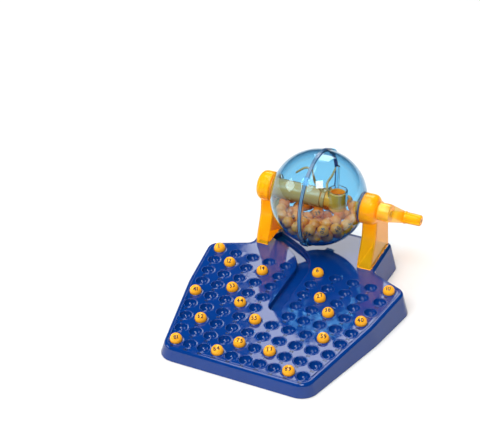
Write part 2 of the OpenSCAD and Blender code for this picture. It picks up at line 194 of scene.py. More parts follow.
class Recipe:
    """Builds one procedural node material round a Principled shader."""

    def __init__(self, name):
        self.material = bpy.data.materials.new(name)
        self.material.use_nodes = True
        self.tree = self.material.node_tree
        self.shader = self.tree.nodes["Principled BSDF"]
        self.output = self.tree.nodes["Material Output"]
        self.join = self.tree.links.new
        self.coords = self.node("TexCoord").outputs["Object"]

    def node(self, kind, **values):
        """Adds a node with some of its inputs set."""
        node = self.tree.nodes.new("ShaderNode" + kind)
        set_inputs(node, **values)
        return node

    def noise(self, scale, detail=3.0, stretch=(1, 1, 1)):
        mapping = self.node("Mapping", Scale=stretch)
        noise = self.node("TexNoise", Scale=scale, Detail=detail)
        self.join(self.coords, mapping.inputs["Vector"])
        self.join(mapping.outputs["Vector"], noise.inputs["Vector"])
        return noise.outputs["Fac"]

    def spread(self, fac, low, high, start=0.3, end=0.7):
        """Maps start to end onto low to high."""
        node = self.node("MapRange", From_Min=start, From_Max=end, To_Min=low, To_Max=high)
        self.join(fac, node.inputs["Value"])
        return node.outputs["Result"]

    def blend(self, fac, first, second):
        """From first to second, each a colour or a node's output: sockets 6 and 7 of a colour mix."""
        node = self.node("Mix")
        node.data_type = "RGBA"
        self.join(fac, node.inputs["Factor"])
        for socket, value in ((node.inputs[6], first), (node.inputs[7], second)):
            if isinstance(value, tuple):
                socket.default_value = (*value, 1)
            else:
                self.join(value, socket)
        return node.outputs[2]

    def edge(self, start):
        """0 where a surface faces the eye, rising to 1 at its outline."""
        return self.spread(self.node("LayerWeight", Blend=0.5).outputs["Facing"], 0, 1, start, 1.0)

    def link(self, output, name):
        self.join(output, self.shader.inputs[name])

    def bump(self, height, depth, strength):
        node = self.node("Bump", Strength=strength, Distance=depth)
        self.join(height, node.inputs["Height"])
        self.link(node.outputs["Normal"], "Normal")

    def absorb(self, colour, density):
        """Deepens the colour of a clear plastic with the light's way through it."""
        volume = self.node("VolumeAbsorption", Color=colour, Density=density)
        self.join(volume.outputs[0], self.output.inputs["Volume"])

    def clear_shadows(self, tint):
        """Light passes through a thin clear wall, so its shadow is only tinted."""
        mix = self.node("MixShader")
        self.join(self.node("LightPath").outputs["Is Shadow Ray"], mix.inputs[0])
        self.join(self.shader.outputs[0], mix.inputs[1])
        self.join(self.node("BsdfTransparent", Color=tint).outputs[0], mix.inputs[2])
        self.join(mix.outputs[0], self.output.inputs["Surface"])


def moulded_plastic(name, colour, second, haze, **shader):
    """Glossy solid plastic: faint colour drift, a trace of orange peel and a range of roughness, haze."""
    recipe = Recipe(name)
    set_inputs(recipe.shader, IOR=1.5, **shader)
    recipe.link(recipe.blend(recipe.spread(recipe.noise(38.0), 0, 1), colour, second), "Base Color")
    recipe.link(recipe.spread(recipe.noise(70.0, 6.0), *haze), "Roughness")
    recipe.bump(recipe.noise(260.0, 2.0), 0.00004, 0.25)
    return recipe.material


def clear_plastic(name, colour, second, rim, haze, body=0.0, depth=WATER, shadow=FAINT_BLUE, ior=1.49,
                  **shader):
    """Clear tinted plastic with faint flow marks. rim is the colour of painted shade at its outline, and body
    its milky part.
    """
    recipe = Recipe(name)
    set_inputs(recipe.shader, Transmission_Weight=1.0 - body, IOR=ior, **shader)
    tint = recipe.blend(recipe.spread(recipe.noise(30.0), 0, 1), colour, second)
    # Painted shade: towards the outline the tint turns to rim, standing in for light's longer way through the
    # wall there
    recipe.link(recipe.blend(recipe.edge(0.4), tint, rim), "Base Color")
    recipe.link(recipe.spread(recipe.noise(60.0, 5.0), *haze), "Roughness")
    recipe.bump(recipe.noise(90.0, 2.0, (1, 1, 0.35)), 0.00005, 0.2)
    recipe.absorb(*depth)
    recipe.clear_shadows(shadow)
    return recipe.material


# Opaque plastics and steel
tray_blue = moulded_plastic("tray_blue_plastic", (0.0004, 0.028, 0.172), (0.0008, 0.032, 0.192), (0.04, 0.08))
# The cup numbers are moulded in the tray's blue; their darker blue is painted shade
shaded_number_blue = moulded_plastic("cup_number_painted_shade", (0.0004, 0.008, 0.050), (0.0006, 0.010, 0.060), (0.2, 0.3))
ball_orange = moulded_plastic("ball_plastic", (0.86, 0.36, 0.010), (0.90, 0.40, 0.014), (0.16, 0.26))
# The balls in the globe are the drawn balls' plastic; this redder, darker copy is painted shade for the
# tinted light in the globe
shaded_globe_ball = moulded_plastic("tumbling_ball_shaded_plastic", (0.86, 0.19, 0.018), (0.90, 0.22, 0.026), (0.2, 0.3))
ink = moulded_plastic("number_ink", (0.012, 0.009, 0.012), (0.02, 0.014, 0.018), (0.3, 0.5))
steel = moulded_plastic("screw_steel", (0.62, 0.62, 0.64), (0.5, 0.5, 0.52), (0.2, 0.4), Metallic=1.0)

# Amber legs and crank. The arm is paler and the nut is nearly clear
amber = clear_plastic("amber_clear_plastic", (1.0, 0.68, 0.018), (1.0, 0.60, 0.010), (1.0, 0.56, 0.003),
                      (0.04, 0.11), 0.28, HONEY, AMBER_SHADOW, ior=1.27)
pale_amber = clear_plastic("pale_amber_clear_plastic", (1.0, 0.78, 0.075), (1.0, 0.75, 0.060),
                           (1.0, 0.60, 0.010), (0.08, 0.18), 0.3, HONEY, AMBER_SHADOW, Specular_IOR_Level=0.2)
thin_amber = clear_plastic("thin_amber_clear_plastic", (1.0, 0.90, 0.50), (1.0, 0.88, 0.46), (0.9, 0.5, 0.06),
                           (0.02, 0.08), 0.05, ((0.99, 0.9, 0.5), 30), (0.99, 0.92, 0.70))

# Sky-blue globe with its flange, painted shade for the dark edges of the flange and the hub, and the sleeve
# and hub
sky = clear_plastic("sky_clear_plastic", (0.54, 0.82, 0.98), (0.52, 0.81, 0.97), (0.002, 0.03, 0.16),
                    (0.0, 0.015), 0.0, ((0.04, 0.775, 0.985), 90), Specular_IOR_Level=0.3)
deep_sky = clear_plastic("sky_clear_flange", (0.36, 0.66, 0.92), (0.34, 0.64, 0.90), (0.03, 0.16, 0.42),
                         (0.0, 0.02), 0.4)
edge_shade_sky = clear_plastic("sky_clear_painted_edge_shade", (0.03, 0.12, 0.32), (0.02, 0.10, 0.28), (0.005, 0.03, 0.12),
                         (0.0, 0.03), 0.45)
pale_sky = clear_plastic("sky_clear_sleeve", (0.82, 0.93, 0.99), (0.80, 0.92, 0.98), (0.10, 0.30, 0.55),
                         (0.0, 0.03), 0.0, ((0.3, 0.8, 0.95), 60))
clear = clear_plastic("colourless_clear_plastic", (0.70, 0.82, 0.92), (0.68, 0.80, 0.90), (0.02, 0.05, 0.14),
                      (0.0, 0.03), 0.0, ((0.5, 0.7, 0.9), 60), (0.97, 0.98, 1.0))

# Milky yellow tube, fingers and cup
olive = clear_plastic("pale_yellow_plastic", (0.68, 0.32, 0.10), (0.64, 0.30, 0.09), (0.30, 0.12, 0.02),
                      (0.15, 0.3), 0.75, ((0.95, 0.9, 0.6), 30), (0.95, 0.88, 0.6))
cup_yellow = clear_plastic("cup_yellow_plastic", (1.0, 0.35, 0.03), (1.0, 0.32, 0.025), (1.0, 0.26, 0.02),
                           (0.1, 0.2), 0.9, ((0.98, 0.9, 0.5), 20), (0.99, 0.9, 0.6))


# ------------------------------ mesh tools

SHARP = math.radians(38)
AXLE = Matrix.Translation((0, AXLE_Y, AXLE_Z)) @ Matrix.Rotation(math.pi / 2, 4, "Y")


def closed_solid(bm):
    """The same closed solid with its faces turned outwards."""
    bmesh.ops.recalc_face_normals(bm, faces=bm.faces)
    if bm.calc_volume(signed=True) < 0:
        bmesh.ops.reverse_faces(bm, faces=bm.faces)
    return bm


def finish_mesh(bm, name, materials):
    """Turns a bmesh in millimetres into a mesh in metres, smooth except at its sharp edges."""
    bmesh.ops.scale(bm, vec=(MM, MM, MM), verts=bm.verts)
    closed_solid(bm)
    for face in bm.faces:
        face.smooth = True
    for edge in bm.edges:
        edge.smooth = len(edge.link_faces) == 2 and edge.calc_face_angle(0) < SHARP
    mesh = bpy.data.meshes.new(name)
    bm.to_mesh(mesh)
    bm.free()
    for material in materials:
        mesh.materials.append(material)
    return mesh


def round_edges(piece, width):
    """Rounds a piece's sharp edges by that width in millimetres."""
    bevel = piece.modifiers.new("rounded_edges", "BEVEL")
    bevel.width = width * MM
    bevel.segments = 2
    bevel.limit_method = "ANGLE"
    bevel.angle_limit = math.radians(30)
    bevel.use_clamp_overlap = True
    bevel.harden_normals = True


def add_piece(name, bm, materials, body, slot, *stands_for, bevel=0):
    """Makes a piece of a bmesh, rides it on its body and hides the CAD nodes that it stands for."""
    piece = link(bpy.data.objects.new(name, finish_mesh(bm, name, materials)))
    if bevel:
        round_edges(piece, bevel)
    shading = piece.modifiers.new("even_shading", "WEIGHTED_NORMAL")
    shading.keep_sharp = True
    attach(piece, body)
    if stands_for:
        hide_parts(*stands_for)


def reach_of(face):
    """Distance of a face's middle from the axle."""
    middle = face.calc_center_median()
    return math.hypot(middle.y - AXLE_Y, middle.z - AXLE_Z)


def join_rings(bm, rings, ends=False):
    """Faces between successive rings of bmesh vertices."""
    for before, after in zip(rings, rings[1:]):
        for i in range(len(before)):
            k = (i + 1) % len(before)
            bm.faces.new((before[i], before[k], after[k], after[i]))
    if ends:
        bm.faces.new(rings[0])
        bm.faces.new(rings[-1])


def close_with_tip(bm, verts, tip):
    """A fan of faces from a ring to a new vertex."""
    middle = bm.verts.new(tip)
    for a, b in zip(verts, verts[1:] + verts[:1]):
        bm.faces.new((a, b, middle))


def circle(r, steps, x=0.0, y=0.0):
    return [(x + r * math.cos(2 * math.pi * i / steps), y + r * math.sin(2 * math.pi * i / steps))
            for i in range(steps)]


def lathe(profile, matrix, steps=64, closed=True):
    """Revolves a profile of (along, radius) points about local Z. A closed profile is a ring's section."""
    bm = bmesh.new()
    rings = [[bm.verts.new(matrix @ Vector((*spot, along))) for spot in circle(r, steps)]
             for along, r in profile]
    join_rings(bm, rings + rings[:1] if closed else rings)
    bmesh.ops.remove_doubles(bm, verts=bm.verts, dist=1e-4)
    return bm


def quarter_round(r, parts):
    """Steps round a rolled edge of radius r, from (r, 0) to (0, r)."""
    turns = [math.pi / 2 * i / parts for i in range(parts + 1)]
    return [(r * (1 - math.sin(a)), r * (1 - math.cos(a))) for a in turns]


def arc(centre, radius, start, end, parts):
    """Points (along, radius) on an arc, by angle from the along axis, in degrees."""
    return [(centre[0] + radius * math.cos(math.radians(start + (end - start) * i / parts)),
             centre[1] + radius * math.sin(math.radians(start + (end - start) * i / parts)))
            for i in range(parts + 1)]


def round_corner(a, b, c, parts):
    """Points of one rounded corner of an outline and their outward directions per millimetre of offset."""
    (ax, ay), (bx, by, r), (cx, cy) = a[:2], b, c[:2]
    ends = []
    for (x0, y0), (x1, y1) in (((ax, ay), (bx, by)), ((bx, by), (cx, cy))):
        length = math.hypot(x1 - x0, y1 - y0)
        ends.append(Vector((-(y1 - y0) / length, (x1 - x0) / length)))
    first, second = ends
    sign = 1 if first.x * second.y - first.y * second.x > 0 else -1
    reach = (first + second) / (1 + first.dot(second))
    centre = Vector((bx, by)) + reach * sign * r
    start = math.atan2(-sign * first.y, -sign * first.x)
    sweep = math.atan2(-sign * second.y, -sign * second.x) - start
    sweep = (sweep + math.pi) % (2 * math.pi) - math.pi
    points = []
    for i in range(parts + 1):
        way = Vector((math.cos(start + sweep * i / parts), math.sin(start + sweep * i / parts)))
        points.append((centre + way * r, sign * way))
    return points


def outline(corners, parts):
    """A rounded outline as (point, outward direction) pairs, counter-clockwise."""
    count = len(corners)
    return [pair for i in range(count)
            for pair in round_corner(corners[i - 1], corners[i], corners[(i + 1) % count], parts)]


def inside(point, loop):
    """True if a flat point is inside a loop of flat points."""
    odd = False
    for a, b in zip(loop, loop[1:] + loop[:1]):
        if (a[1] > point[1]) != (b[1] > point[1]):
            if point[0] < (b[0] - a[0]) * (point[1] - a[1]) / (b[1] - a[1]) + a[0]:
                odd = not odd
    return odd


# ------------------------------ numbers

def digit_shapes():
    """Points, faces, rim edges and width of each digit, 1 high, cut small enough to bend round a ball."""
    shapes = {}
    longest_edge = 0.16
    for digit in "0123456789":
        data = bpy.data.curves.new("digit", "FONT")
        data.body = digit
        data.resolution_u = 3
        data.offset = 0.028
        holder = link(bpy.data.objects.new("digit", data))
        mesh = bpy.data.meshes.new_from_object(holder.evaluated_get(bpy.context.evaluated_depsgraph_get()))
        bpy.data.objects.remove(holder)
        bm = bmesh.new()
        bm.from_mesh(mesh)
        bmesh.ops.remove_doubles(bm, verts=bm.verts, dist=1e-4)
        low = min(v.co.x for v in bm.verts), min(v.co.y for v in bm.verts)
        high = max(v.co.x for v in bm.verts), max(v.co.y for v in bm.verts)
        size = high[1] - low[1]
        for v in bm.verts:
            v.co.x = (v.co.x - low[0]) / size
            v.co.y = (v.co.y - low[1]) / size - 0.5
            v.co.z = 0
        for _ in range(3):
            long_edges = [e for e in bm.edges if e.calc_length() > longest_edge]
            if long_edges:
                bmesh.ops.subdivide_edges(bm, edges=long_edges, cuts=1)
            bmesh.ops.triangulate(bm, faces=bm.faces)
        bm.verts.index_update()
        spots = [v.co.copy() for v in bm.verts]
        triangles = [[v.index for v in face.verts] for face in bm.faces]
        faces = list({frozenset(corners): corners for corners in triangles}.values())
        rim = [[v.index for v in e.verts] for e in bm.edges if len(e.link_faces) == 1]
        shapes[digit] = (spots, faces, rim, (high[0] - low[0]) / size)
        bm.free()
        bpy.data.meshes.remove(mesh)
    return shapes


DIGITS = digit_shapes()
DIGIT_GAP = 0.12


def print_number(bm, number, height, place, thickness, material_index=0):
    """Adds a number as closed raised shapes. place maps (x, y, lift) in millimetres to a point."""
    text = str(number)
    width = sum(DIGITS[c][3] for c in text) + DIGIT_GAP * (len(text) - 1)
    start = -width / 2
    for c in text:
        spots, faces, rim, advance = DIGITS[c]
        levels = [[bm.verts.new(place((p.x + start) * height, p.y * height, lift)) for p in spots]
                  for lift in (-thickness, thickness)]
        made = [bm.faces.new([levels[1][i] for i in face]) for face in faces]
        made += [bm.faces.new([levels[0][i] for i in reversed(face)]) for face in faces]
        made += [bm.faces.new((levels[0][a], levels[0][b], levels[1][b], levels[1][a])) for a, b in rim]
        for face in made:
            face.material_index = material_index
        start += advance + DIGIT_GAP


# ------------------------------ tray

FACE = Matrix.Translation((0, ROW1_Y, FACE_Z)) @ Matrix.Rotation(SLOPE, 4, "X")
TO_FACE = FACE.inverted()


def on_face(spot):
    """Flat place on the face of a point in the object's frame."""
    flat = TO_FACE @ spot
    return Vector((flat.x, flat.y))


def flat_loop(verts):
    return [on_face(v.co) for v in verts]


def face_height(y):
    return FACE_Z + (y - ROW1_Y) * math.tan(SLOPE)


def face_ring(bm, points, height):
    """Vertices over flat points of the face."""
    return [bm.verts.new(FACE @ Vector((x, y, height))) for x, y in points]


def fill_face(bm, loops, keep):
    """Triangulates the flat region between closed loops of bmesh vertices and keeps the wanted triangles."""
    verts = [v for loop in loops for v in loop]
    edges = []
    start = 0
    for loop in loops:
        count = len(loop)
        edges += [(start + i, start + (i + 1) % count) for i in range(count)]
        start += count
    spots, _, triangles, sources, _, _ = delaunay_2d_cdt(flat_loop(verts), edges, [], 0, 1e-5)
    home = [verts[source[0]] if source else None for source in sources]
    for triangle in triangles:
        middle = sum((spots[i] for i in triangle), Vector((0, 0))) / 3
        corners = [home[i] for i in triangle]
        if keep(middle) and all(corners) and len(set(corners)) == 3:
            bm.faces.new(corners)


def fill_panel(bm, edge, trough, holes, hole_r):
    """Fills the face inside its edge, round the gutter and round holes of that radius at the cups."""
    edge_loop, trough_loop = flat_loop(edge), flat_loop(trough)

    def on_panel(spot):
        return (inside(spot, edge_loop) and not inside(spot, trough_loop)
                and all((spot.x - x) ** 2 + (spot.y - y) ** 2 > hole_r ** 2 for x, y in CUPS.values()))
    fill_face(bm, [edge, trough, *holes], on_panel)


def fill_floor(bm, edge):
    floor_loop = flat_loop(edge)
    fill_face(bm, [edge], lambda spot: inside(spot, floor_loop))


def cup_place(row, column):
    """Local X and Y of a cup on the face."""
    half = COLUMNS // 2
    if row <= SPLIT_ROWS:
        side, steps = (1, column - half - 1) if column > half else (-1, half - column)
        x = side * (SPLIT_HALF_GAP + steps * (SPLIT_PITCH - SPLIT_TAPER * (row - 1)))
    else:
        x = (column - (COLUMNS + 1) / 2) * (FULL_PITCH - FULL_TAPER * (row - SPLIT_ROWS - 1))
    return x, -ROW_PITCH * (row - 1)


# Number of each cup: its place on the face
CUPS = {(row - 1) * COLUMNS + column: cup_place(row, column)
        for row in range(1, ROWS + 1) for column in range(1, COLUMNS + 1)}


def gutter_loop(r):
    """The gutter's outline on the face, at r from its middle line."""
    across = Vector((math.cos(BEND_ANGLE), math.sin(BEND_ANGLE)))
    along = Vector((-across.y, across.x))
    centre = Vector((-BEND_R, BEND_Y))
    end_y = -ROW_PITCH * (SPLIT_ROWS - 1) + 10
    bend_parts, tip_parts = 14, 16

    def bend(radius):
        turns = [BEND_ANGLE * i / bend_parts for i in range(bend_parts + 1)]
        return [centre + radius * Vector((math.cos(a), math.sin(a))) for a in turns]
    tip = [Vector((r * math.cos(a), end_y + r * math.sin(a)))
           for a in (math.pi + math.pi * i / tip_parts for i in range(tip_parts + 1))]
    leg_end = centre + BEND_R * across + LEG_RUN * along
    return tip + bend(BEND_R + r) + [leg_end + r * across, leg_end - r * across] + bend(BEND_R - r)[::-1]


# Section of a cup's rolled lip: outwards from the mouth, height on the face
LIP = [(1.7, -0.1), (1.4, -0.06), (1.1, 0.05), (0.85, 0.15), (0.55, 0.2), (0.3, 0.15), (0.1, -0.08)]
MOUTH_H = -0.4
MOUTH_R = math.sqrt(CUP_R ** 2 - (CUP_RISE - MOUTH_H) ** 2)
LIP_R = MOUTH_R + LIP[0][0]


def sink_cup(bm, x, y, steps=40, parts=9):
    """A round cup with a raised, softly rolled lip; returns its outer ring in the face."""
    rings = [face_ring(bm, circle(MOUTH_R + out, steps, x, y), height) for out, height in LIP]
    mouth_angle = math.acos((CUP_RISE - MOUTH_H) / CUP_R)
    for i in range(parts):
        a = mouth_angle * (1 - i / parts)
        rings.append(face_ring(bm, circle(CUP_R * math.sin(a), steps, x, y), CUP_RISE - CUP_R * math.cos(a)))
    join_rings(bm, rings)
    close_with_tip(bm, rings[-1], FACE @ Vector((x, y, CUP_RISE - CUP_R)))
    return rings[0]


def rim_ring(bm, path, inset, drop):
    """A ring that far inside the top edge's outline and that far below the face."""
    spots = [p - out * inset for p, out in path]
    return [bm.verts.new((spot.x, spot.y, face_height(spot.y) - drop)) for spot in spots]


def wall_ring(bm, path, height_of, inset=0.0):
    """A ring on the straight, leaning side wall. height_of gives its height from the wall's own height."""
    ring_verts = []
    for p, out in path:
        wall_h = face_height(p.y) - EDGE_R
        z = height_of(wall_h)
        spot = p + out * (DRAFT * face_height(p.y) * (1 - z / wall_h) - inset)
        ring_verts.append(bm.verts.new((spot.x, spot.y, z)))
    return ring_verts


def tray_side(bm, path):
    """The side wall, its rounded edge and the rim with its groove; returns the lowest and the last ring."""
    rings = [wall_ring(bm, path, lambda wall_h, z=z: z, inset)
             for z, inset in ((0, WALL), (0, 0.5), (0.25, 0.1))]
    rings += [wall_ring(bm, path, lambda wall_h, part=part: part * wall_h) for part in (0.1, 0.5, 0.9)]
    rings += [rim_ring(bm, path, inset, drop) for drop, inset in quarter_round(EDGE_R, 7)]
    groove_w, groove_d = 0.5, 0.28
    rings += [rim_ring(bm, path, RIM_W + inset, drop) for inset, drop in
              ((0, 0), (groove_w / 2, 0.04), (groove_w, groove_d), (2 * groove_w, groove_d),
               (3 * groove_w - 0.2, RIM_STEP + 0.03), (3 * groove_w, RIM_STEP))]
    join_rings(bm, rings)
    return rings[0], rings[-1]


def tray_top(bm, panel_edge):
    """The gutter with its rounded lip and foot, the cups and the flat panel round them."""
    lip, foot = 0.9, 1.6
    gutter = [face_ring(bm, gutter_loop(GUTTER_R + out), -RIM_STEP - down)
              for out, down in quarter_round(lip, 3)]
    gutter += [face_ring(bm, gutter_loop(GUTTER_R - back), -GUTTER_DEPTH + up)
               for up, back in quarter_round(foot, 3)]
    join_rings(bm, gutter)
    fill_floor(bm, gutter[-1])
    cups = [sink_cup(bm, x, y) for x, y in CUPS.values()]
    fill_panel(bm, panel_edge, gutter[0], cups, LIP_R)


def tray_underside(bm, path, lowest):
    """The inner side of the wall, the cups' bosses, the gutter's trough and the panel's underside."""
    under_h = -RIM_STEP - WALL
    under = [lowest, wall_ring(bm, path, lambda wall_h: 0.3, WALL + 0.3)]
    under += [rim_ring(bm, path, inset, drop) for inset, drop in
              ((WALL + 0.6, EDGE_R + WALL + 1.5), (RIM_W, -under_h + 1.2), (RIM_W + 0.8, -under_h))]
    join_rings(bm, under)
    boss_h, bevel = CUP_RISE - CUP_R - BOSS_WALL, 0.4
    bosses = []
    for x, y in CUPS.values():
        rings = [face_ring(bm, circle(r, 24, x, y), height) for r, height in
                 ((BOSS_R, under_h), (BOSS_R, boss_h + bevel), (BOSS_R - bevel, boss_h))]
        join_rings(bm, rings)
        bm.faces.new(rings[-1])
        bosses.append(rings[0])
    trough_r, trough_h, bevel = GUTTER_R + GUTTER_WALL, -GUTTER_DEPTH - GUTTER_WALL, 0.5
    trough = [face_ring(bm, gutter_loop(r), height) for r, height in
              ((trough_r, under_h), (trough_r, trough_h + bevel), (trough_r - bevel, trough_h))]
    join_rings(bm, trough)
    fill_floor(bm, trough[-1])
    fill_panel(bm, under[-1], trough[0], bosses, 0.99 * BOSS_R)


def build_tray():
    bm = bmesh.new()
    path = outline(TRAY_CORNERS, 10)
    lowest, panel_edge = tray_side(bm, path)
    tray_top(bm, panel_edge)
    tray_underside(bm, path, lowest)
    add_piece("tray_moulding", bm, [tray_blue], "root", "blue_plastic", "tray")


def build_cup_numbers():
    """A small raised number in front of each cup, darker with painted shade."""
    bm = bmesh.new()
    in_front = 9.3
    for number, (x, y) in CUPS.items():
        def place(px, py, lift, x=x, y=y):
            return FACE @ Vector((x + px, y - in_front + py, -RIM_STEP + lift))
        print_number(bm, number, 2.8, place, 0.16)
    add_piece("cup_numbers", bm, [shaded_number_blue], "root", "blue_plastic")


# ------------------------------ balls

# Polar angles of a ball's rings in degrees, closer together at its sunk moulding seam
SEAM = {87: 0.0, 89: 0.07, 91: 0.07, 93: 0.0}
BALL_ANGLES = sorted([a for a in range(9, 180, 9) if a != 90] + list(SEAM))


def add_ball(bm, centre, turn, number, steps):
    """A ball turned by a matrix, with its number on two sides. Ink is the second material."""
    place = Matrix.Translation(centre) @ turn.to_4x4()
    rings = []
    for degrees in BALL_ANGLES:
        a, r = math.radians(degrees), BALL_R - SEAM.get(degrees, 0.0)
        rings.append([bm.verts.new(place @ Vector((*spot, r * math.cos(a))))
                      for spot in circle(r * math.sin(a), steps)])
    join_rings(bm, rings)
    close_with_tip(bm, rings[0], place @ Vector((0, 0, BALL_R)))
    close_with_tip(bm, rings[-1], place @ Vector((0, 0, -BALL_R)))
    for side in (1, -1):
        def print_on(px, py, lift, side=side):
            way = Vector((px * side, py, side * BALL_R)).normalized()
            return place @ (way * (BALL_R + lift))
        print_number(bm, number, 4.9, print_on, 0.03, 1)


def drawn_balls():
    """Number and CAD node of each drawn ball, by number."""
    names = (name for name in nodes if name.startswith("ball_") and name[5:].isdigit())
    return sorted((int(name[5:]), name) for name in names)


def middle_of(name):
    """Middle of a CAD node's box, in millimetres."""
    low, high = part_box(name)
    return (Vector(low) + Vector(high)) / 2 / MM


def build_drawn_balls():
    """Balls resting in cups, with their numbers up."""
    draw = random.Random(7)
    for number, name in drawn_balls():
        bm = bmesh.new()
        way = Vector((draw.uniform(0.05, 0.4), draw.uniform(-0.8, -0.35), 1)).normalized()
        turn = Vector((0, 0, 1)).rotation_difference(way).to_matrix()
        turn = turn @ Matrix.Rotation(math.radians(draw.uniform(12, 38)), 3, "Z")
        add_ball(bm, middle_of(name), turn, number, 40)
        add_piece(name + "_printed", bm, [ball_orange, ink], name, "ball_plastic", name)


def loose_centres(name):
    """Centres of a CAD node's separate solids, in millimetres."""
    bm = bmesh.new()
    bm.from_mesh(nodes[name].data)
    bmesh.ops.remove_doubles(bm, verts=bm.verts, dist=1e-6)
    seen = set()
    centres = []
    for first in bm.verts:
        if first.index in seen:
            continue
        seen.add(first.index)
        group = []
        waiting = [first]
        while waiting:
            v = waiting.pop()
            group.append(v.co)
            for edge in v.link_edges:
                other = edge.other_vert(v)
                if other.index not in seen:
                    seen.add(other.index)
                    waiting.append(other)
        low = Vector([min(spot[i] for spot in group) for i in range(3)])
        high = Vector([max(spot[i] for spot in group) for i in range(3)])
        centres.append((low + high) / 2 / MM)
    bm.free()
    return centres


def build_globe_balls():
    """The balls that are still to be drawn."""
    draw = random.Random(21)
    drawn = {number for number, _ in drawn_balls()}
    numbers = [n for n in range(1, ROWS * COLUMNS + 1) if n not in drawn]
    draw.shuffle(numbers)
    bm = bmesh.new()
    for number, centre in zip(numbers, loose_centres("globe_balls")):
        way = Vector([draw.gauss(0, 1) for _ in range(3)]).normalized()
        turn = Vector((0, 0, 1)).rotation_difference(way).to_matrix()
        turn = turn @ Matrix.Rotation(draw.uniform(0, 2 * math.pi), 3, "Z")
        add_ball(bm, centre, turn, number, 28)
    add_piece("tumbling_balls", bm, [shaded_globe_ball, ink], "root", "ball_plastic", "globe_balls")


# ------------------------------ globe

def build_globe_half(side):
    """A thin half shell with a rounded rim flange and an open, thickened pole."""
    outer_pole_r = POLE_R if side > 0 else POLE_R - 1
    flange_out, flange_w, corner, shaded_edge_w = GLOBE_R + 1.3, 1.9, 0.3, 0.8
    band = flange_w - shaded_edge_w
    outer_pole, inner_pole = (math.degrees(math.asin(outer_pole_r / r)) for r in (GLOBE_R, INNER_R))
    meet = math.degrees(math.asin((flange_w + 0.5) / GLOBE_R))
    profile = [(0.02, INNER_R), (0.02, flange_out - corner), (corner, flange_out), (band, flange_out),
               (flange_w - 0.35, flange_out), (flange_w, flange_out - 0.35), (flange_w, GLOBE_R + 0.2)]
    profile += arc((0, 0), GLOBE_R, 90 - meet, outer_pole, 44)
    profile += arc((0, 0), INNER_R, inner_pole, 89.5, 44)
    bm = lathe([(side * along, r) for along, r in profile], AXLE, 144)
    # The joint and the flange's middle band are deeper in colour, and its edges and side are dark with
    # painted shade for the light that refraction turns away there
    for face in bm.faces:
        reach = reach_of(face)
        along = abs(face.calc_center_median().x)
        if along < band and (reach > flange_out - 0.16 or along < 0.1):
            face.material_index = 1
        elif reach > GLOBE_R + 0.15:
            face.material_index = 2
    way = "right" if side > 0 else "left"
    materials = [sky, deep_sky, edge_shade_sky]
    add_piece("globe_shell_" + way, bm, materials, "globe", "clear_blue_plastic", "globe_" + way + "_half")


# ------------------------------ solids for the legs and the crank

def rounded_prism(corners, x0, x1, inset, start_r, end_r, parts=5):
    """A closed prism along X over a rounded outline in Y and Z, with rounded edges at both ends."""
    levels = [(x0 + along, inset + back) for along, back in reversed(quarter_round(start_r, parts))]
    levels += [(x1 - along, inset + back) for along, back in quarter_round(end_r, parts)]
    levels = [level for i, level in enumerate(levels) if not i or math.dist(level, levels[i - 1]) > 1e-6]
    path = outline(corners, 8)
    bm = bmesh.new()
    rings = [[bm.verts.new((x, p.x - out.x * back, p.y - out.y * back)) for p, out in path]
             for x, back in levels]
    join_rings(bm, rings, ends=True)
    return closed_solid(bm)


def rod(x0, x1, r, start_r=0, end_r=0, matrix=AXLE, steps=72):
    """A closed rod along the axle, or along Z of another matrix, with rounded ends."""
    profile = [(x0, 0.0)]
    profile += arc((x0 + start_r, r - start_r), start_r, 180, 90, 6) if start_r else [(x0, r)]
    profile += arc((x1 - end_r, r - end_r), end_r, 90, 0, 6) if end_r else [(x1, r)]
    profile.append((x1, 0.0))
    return closed_solid(lathe(profile, matrix, steps, False))


def ring(profile, matrix=AXLE, steps=72):
    """A closed turned ring from its section."""
    return closed_solid(lathe(profile, matrix, steps))


def slab(x0, x1, outline_yz):
    """A closed straight prism along X."""
    bm = bmesh.new()
    join_rings(bm, [[bm.verts.new((x, y, z)) for y, z in outline_yz] for x in (x0, x1)], ends=True)
    return closed_solid(bm)


def combine(operation, base, *tools):
    """Boolean of closed solids. Uses them up."""
    for tool in tools:
        work = []
        for bm in (base, tool):
            mesh = bpy.data.meshes.new("work")
            bm.to_mesh(mesh)
            bm.free()
            work.append(link(bpy.data.objects.new("work", mesh)))
        modifier = work[0].modifiers.new("work", "BOOLEAN")
        modifier.operation = operation
        modifier.solver = "EXACT"
        modifier.object = work[1]
        base = bmesh.new()
        base.from_object(work[0], bpy.context.evaluated_depsgraph_get())
        for obj in work:
            mesh = obj.data
            bpy.data.objects.remove(obj)
            bpy.data.meshes.remove(mesh)
        bmesh.ops.remove_doubles(base, verts=base.verts, dist=2e-4)
    return base


def cut_at_face(bm):
    """Cuts off what lies under the tray's face and closes the cut."""
    up = FACE.to_3x3() @ Vector((0, 0, 1))
    geometry = bm.verts[:] + bm.edges[:] + bm.faces[:]
    cut = bmesh.ops.bisect_plane(bm, geom=geometry, plane_co=FACE @ Vector((0, 0, 0.02)), plane_no=up,
                                 clear_inner=True, dist=1e-4)
    edges = [item for item in cut["geom_cut"] if isinstance(item, bmesh.types.BMEdge)]
    bmesh.ops.triangle_fill(bm, edges=edges, use_beauty=True, normal=-up)
    return bm


def flip_x(bm):
    bmesh.ops.scale(bm, vec=(-1, 1, 1), verts=bm.verts)
    bmesh.ops.reverse_faces(bm, faces=bm.faces)


# Rounding of a leg's outer edge and of its head
LEG_ROUND, HEAD_ROUND = 2.9, 7


